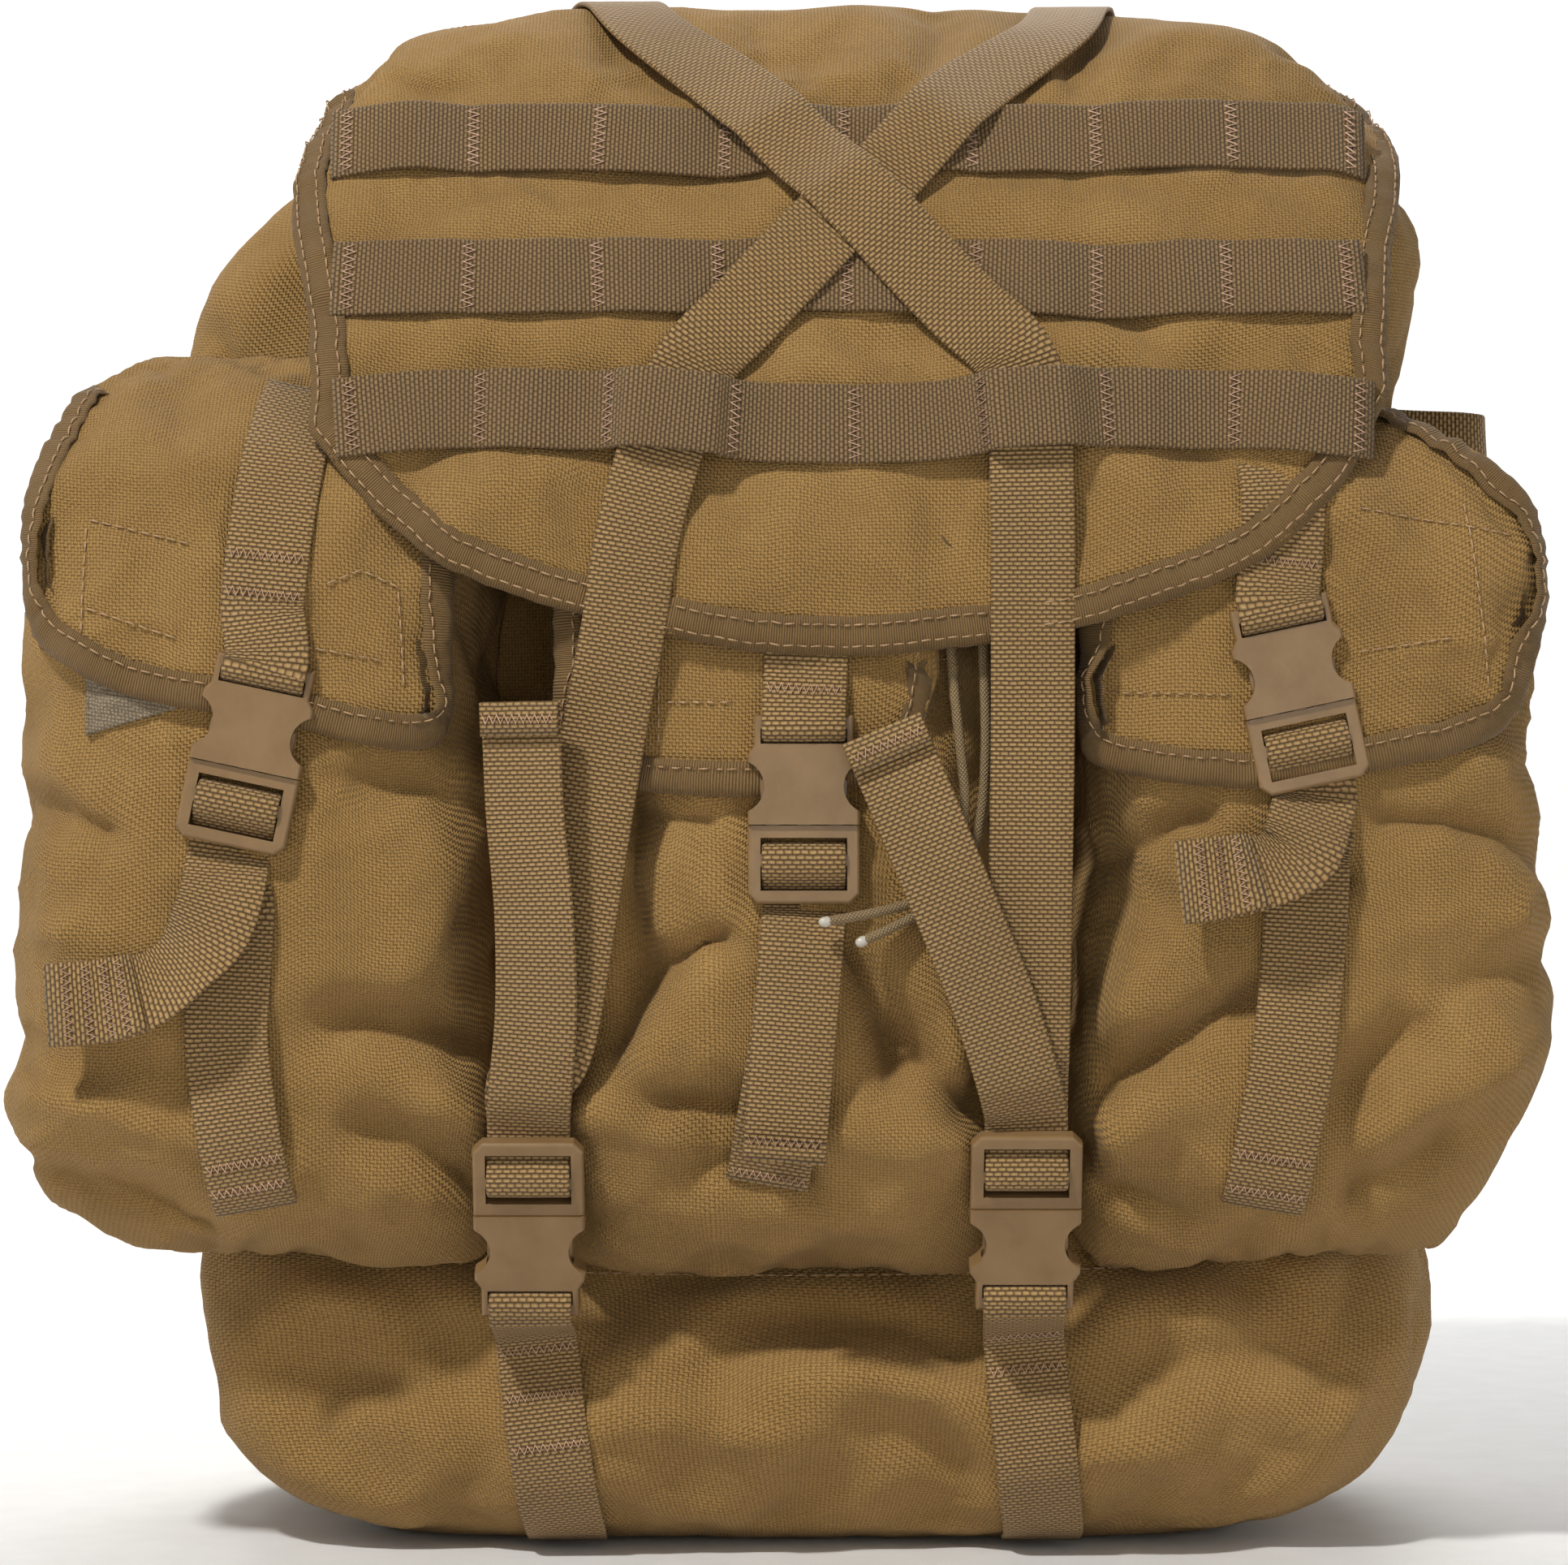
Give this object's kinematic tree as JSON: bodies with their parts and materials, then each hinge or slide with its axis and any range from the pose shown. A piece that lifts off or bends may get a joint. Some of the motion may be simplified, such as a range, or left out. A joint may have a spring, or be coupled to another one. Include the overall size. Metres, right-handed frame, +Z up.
{
  "type": "field rucksack",
  "caption": "Large hunting rucksack with a wide lid, three tall flapped pockets, crossed closing straps, side-release buckles and a padded harness.",
  "frame": {"origin": "centre of the flat bottom that the pack stands on, under the middle of the main compartment", "axes": "+Z up; +Y towards the wearer's back, so the pockets and buckles face -Y; +X to the right of someone facing the pockets"},
  "size_m": [0.482, 0.3074, 0.4951],
  "materials": {
    "pack_cloth": "coated plain-weave pack cloth",
    "binding_tape": "ribbed grosgrain tape, stitched",
    "webbing": "ribbed flat webbing",
    "buckle_plastic": "satin moulded acetal",
    "hook_tape": "hook tape",
    "cord_sheath": "braided sheath",
    "frame_plastic": "stiff sheet",
    "stay_metal": "flat bar, mill finish",
    "harness_cloth": "padded cloth"
  },
  "bodies": {
    "bag": {"back_panel": "harness_cloth", "back_seam": "webbing", "base_section": "pack_cloth", "bottom_strap_left": "webbing", "bottom_strap_right": "webbing", "buckle_socket_main_left": "buckle_plastic", "buckle_socket_main_right": "buckle_plastic", "collar": "pack_cloth", "drawcord_left": "cord_sheath", "drawcord_right": "cord_sheath", "frame_sheet": "frame_plastic", "frame_stays": "stay_metal", "harness_ladderlocks": "buckle_plastic", "harness_tabs": "webbing", "harness_webs": "webbing", "hook_patch": "hook_tape", "lumbar_pad": "harness_cloth", "main_bag": "pack_cloth", "pocket_centre": "pack_cloth", "pocket_left": "pack_cloth", "pocket_right": "pack_cloth", "pocket_strap_centre": "webbing", "pocket_strap_left": "webbing", "pocket_strap_right": "webbing", "shoulder_pad_left": "harness_cloth", "shoulder_pad_right": "harness_cloth", "side_loop": "webbing", "side_tabs": "webbing"},
    "lid": {"lid": "pack_cloth", "lid_binding": "binding_tape", "pals_row_1": "webbing", "pals_row_2": "webbing", "pals_row_3": "webbing", "lid_strap_left": "webbing", "lid_strap_right": "webbing"},
    "closure_strap_left": {"closure_strap_left": "webbing"},
    "closure_plug_left": {"buckle_plug_main_left": "buckle_plastic", "closure_tail_left": "webbing"},
    "closure_strap_right": {"closure_strap_right": "webbing"},
    "closure_plug_right": {"buckle_plug_main_right": "buckle_plastic", "closure_tail_right": "webbing"},
    "flap_left": {"flap_left": "pack_cloth", "flap_binding_left": "binding_tape", "flap_strap_left": "webbing", "buckle_socket_pocket_left": "buckle_plastic"},
    "pocket_plug_left": {"buckle_plug_pocket_left": "buckle_plastic", "pocket_tail_left": "webbing"},
    "flap_centre": {"flap_centre": "pack_cloth", "flap_binding_centre": "binding_tape", "flap_strap_centre": "webbing", "buckle_socket_pocket_centre": "buckle_plastic"},
    "pocket_plug_centre": {"buckle_plug_pocket_centre": "buckle_plastic", "pocket_tail_centre": "webbing"},
    "flap_right": {"flap_right": "pack_cloth", "flap_binding_right": "binding_tape", "flap_strap_right": "webbing", "buckle_socket_pocket_right": "buckle_plastic"},
    "pocket_plug_right": {"buckle_plug_pocket_right": "buckle_plastic", "pocket_tail_right": "webbing"},
    "handle": {"haul_handle": "webbing"}
  },
  "joints": [
    {"name": "lid_open", "type": "hinge", "parent": "bag", "child": "lid", "pos_m": [0, 0.088, 0.47], "axis": [-1, 0, 0], "range_deg": [0, 95]},
    {"name": "closure_strap_left_swing", "type": "hinge", "parent": "lid", "child": "closure_strap_left", "pos_m": [-0.0475, -0.14895, 0.2845], "axis": [-1, 0, 0], "range_deg": [-85, 5]},
    {"name": "main_buckle_left_release", "type": "slide", "parent": "closure_strap_left", "child": "closure_plug_left", "axis": [0, -0.309, 0.9511], "range_m": [0, 0.022]},
    {"name": "closure_strap_right_swing", "type": "hinge", "parent": "lid", "child": "closure_strap_right", "pos_m": [0.074, -0.15045, 0.2845], "axis": [-1, 0, 0], "range_deg": [-85, 5]},
    {"name": "main_buckle_right_release", "type": "slide", "parent": "closure_strap_right", "child": "closure_plug_right", "axis": [0, -0.309, 0.9511], "range_m": [0, 0.022]},
    {"name": "flap_left_open", "type": "hinge", "parent": "bag", "child": "flap_left", "pos_m": [-0.164, -0.079, 0.377], "axis": [-1, 0, 0], "range_deg": [0, 88]},
    {"name": "pocket_buckle_left_release", "type": "slide", "parent": "bag", "child": "pocket_plug_left", "axis": [-0.2079, 0, -0.9781], "range_m": [0, 0.022]},
    {"name": "flap_centre_open", "type": "hinge", "parent": "bag", "child": "flap_centre", "pos_m": [0, -0.079, 0.377], "axis": [-1, 0, 0], "range_deg": [0, 88]},
    {"name": "pocket_buckle_centre_release", "type": "slide", "parent": "bag", "child": "pocket_plug_centre", "axis": [0, 0, -1], "range_m": [0, 0.022]},
    {"name": "flap_right_open", "type": "hinge", "parent": "bag", "child": "flap_right", "pos_m": [0.164, -0.079, 0.377], "axis": [-1, 0, 0], "range_deg": [0, 88]},
    {"name": "pocket_buckle_right_release", "type": "slide", "parent": "bag", "child": "pocket_plug_right", "axis": [0.2079, 0, -0.9781], "range_m": [0, 0.022]},
    {"name": "haul_handle_swing", "type": "hinge", "parent": "bag", "child": "handle", "pos_m": [0, 0.1016, 0.446], "axis": [1, 0, 0], "range_deg": [0, 130]}
  ],
  "couplings": [
    {"joint": "closure_strap_left_swing", "follows": "lid_open", "ratio": -0.85},
    {"joint": "closure_strap_right_swing", "follows": "lid_open", "ratio": -0.85},
    {"joint": "flap_left_open", "follows": "lid_open", "ratio": 0.9},
    {"joint": "flap_centre_open", "follows": "lid_open", "ratio": 0.9},
    {"joint": "flap_right_open", "follows": "lid_open", "ratio": 0.9}
  ]
}
